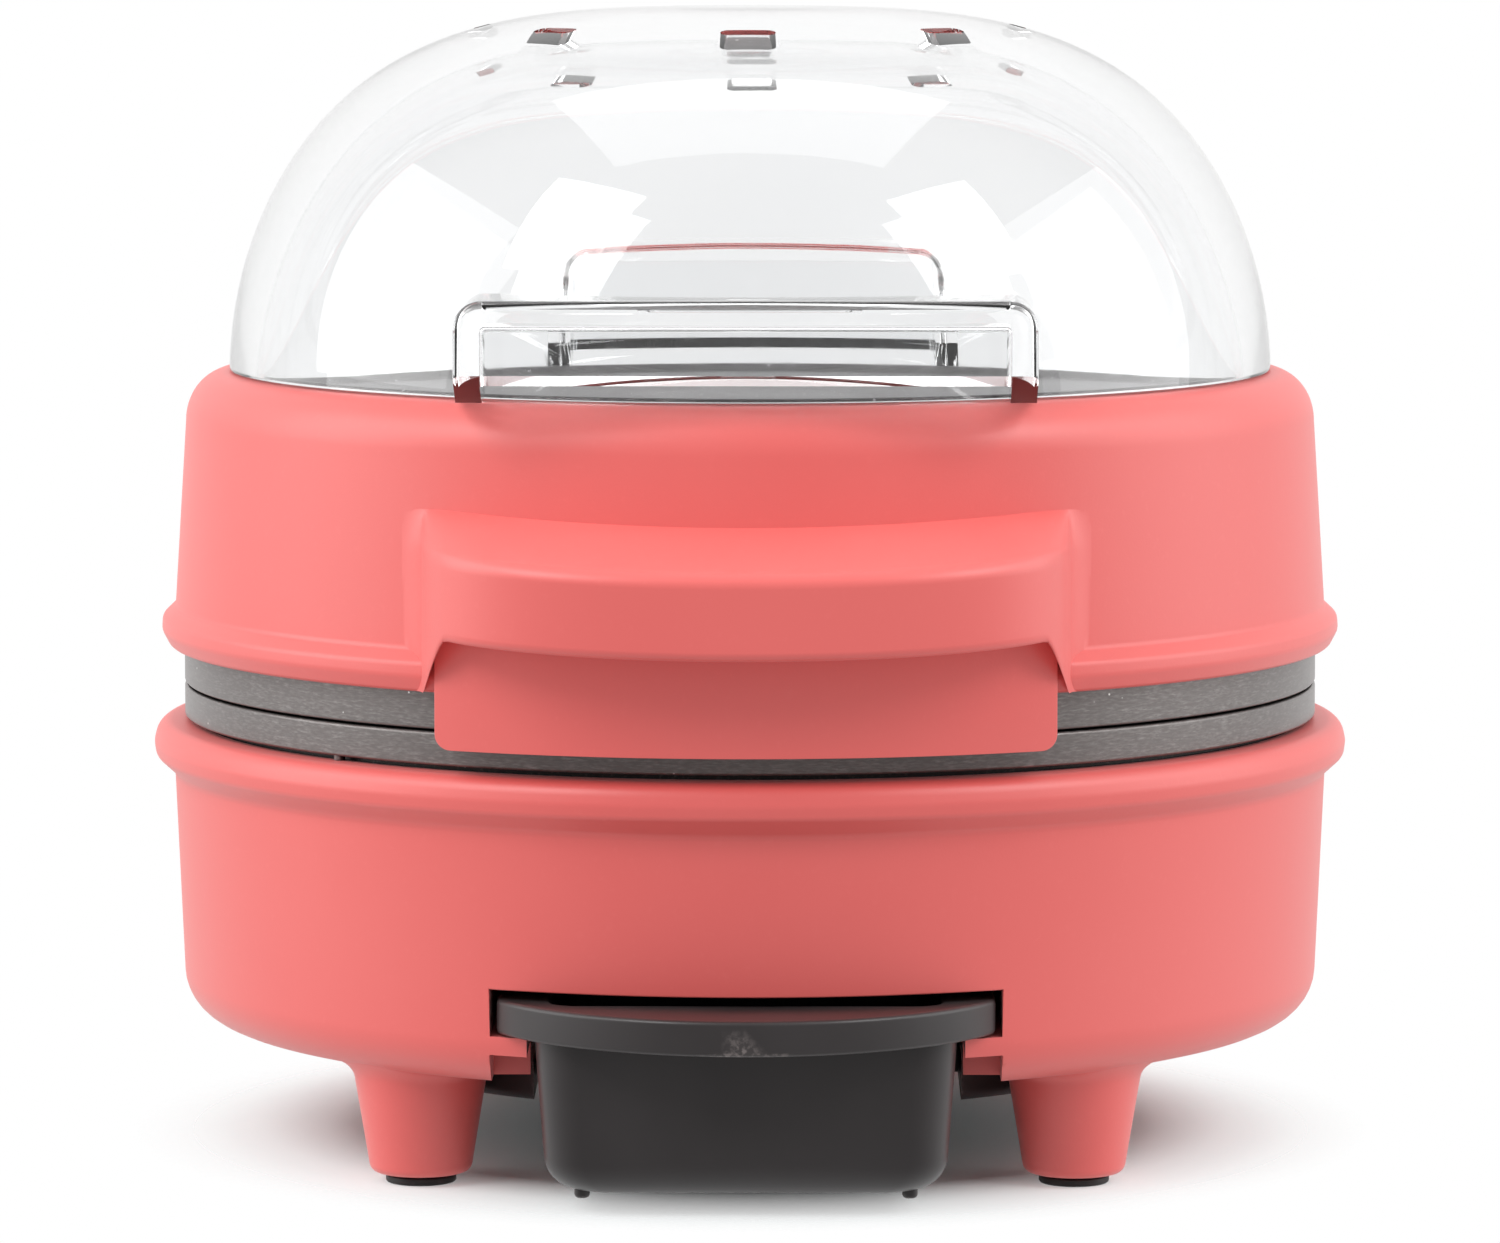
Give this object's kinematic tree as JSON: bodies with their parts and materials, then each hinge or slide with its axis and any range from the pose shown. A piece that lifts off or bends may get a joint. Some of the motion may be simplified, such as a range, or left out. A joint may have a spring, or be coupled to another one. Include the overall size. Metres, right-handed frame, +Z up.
{
  "type": "electric burger maker",
  "caption": "Round two-plate cooker on short legs, with a hinged lid, a clear lift-off dome and a pull-out drip tray.",
  "frame": {"origin": "centre of the overall box at the underside of the rubber pads, on the axis of the round body", "axes": "+Z up along the round body's axis, -Y to the front where the handle and the drip tray are, +X to the user's right"},
  "size_m": [0.1456, 0.164, 0.1373],
  "materials": {
    "coral_plastic": "fine moulded grain, soft sheen",
    "dark_plastic": "smooth satin",
    "coated_cast_plate": "dark non-stick coat with brushed rim",
    "bright_steel": "plated",
    "reflector_sheet": "bright rolled sheet",
    "element_sheath": "heat-darkened",
    "clear_plastic": "clear moulded plastic",
    "black_rubber": "matt",
    "ceramic": "glazed ceramic",
    "wire_sleeve": "braided heat-proof sleeve"
  },
  "bodies": {
    "base": {"base_housing": "coral_plastic", "foot_pad_front_left": "black_rubber", "foot_pad_front_right": "black_rubber", "foot_pad_rear_left": "black_rubber", "foot_pad_rear_right": "black_rubber", "lower_plate": "coated_cast_plate", "lower_element": "element_sheath", "lower_reflector": "reflector_sheet", "base_thermostat": "ceramic", "thermal_fuse": "ceramic", "lower_plate_screw_1": "bright_steel", "lower_plate_screw_2": "bright_steel", "lower_plate_screw_3": "bright_steel", "lower_plate_screw_4": "bright_steel", "bottom_cover": "dark_plastic", "cover_screw_1": "bright_steel", "cover_screw_2": "bright_steel", "cover_screw_3": "bright_steel", "terminal_block": "ceramic", "cord_bush": "black_rubber", "grease_chute": "reflector_sheet", "hinge_sleeve": "bright_steel", "hinge_pin": "bright_steel", "element_wire_left": "wire_sleeve", "element_wire_right": "wire_sleeve", "lid_lead_lower": "wire_sleeve"},
    "lid": {"lid_housing": "coral_plastic", "upper_plate": "coated_cast_plate", "upper_element": "element_sheath", "upper_reflector": "reflector_sheet", "upper_thermostat": "ceramic", "upper_plate_screw_1": "bright_steel", "upper_plate_screw_2": "bright_steel", "upper_plate_screw_3": "bright_steel", "warming_plate": "coated_cast_plate", "warming_plate_screw_1": "bright_steel", "warming_plate_screw_2": "bright_steel", "warming_plate_screw_3": "bright_steel", "lid_lead_upper": "wire_sleeve"},
    "dome": {"dome_cover": "clear_plastic"},
    "tray": {"drip_tray": "dark_plastic"}
  },
  "joints": [
    {"name": "lid_hinge", "type": "hinge", "parent": "base", "child": "lid", "pos_m": [0, 0.0768, 0.0554], "axis": [-1, 0, 0], "range_deg": [0, 100]},
    {"name": "dome_lift", "type": "slide", "parent": "lid", "child": "dome", "axis": [0, 0, 1], "range_m": [0, 0.08]},
    {"name": "tray_slide", "type": "slide", "parent": "base", "child": "tray", "axis": [0, -1, 0], "range_m": [0, 0.05]}
  ]
}
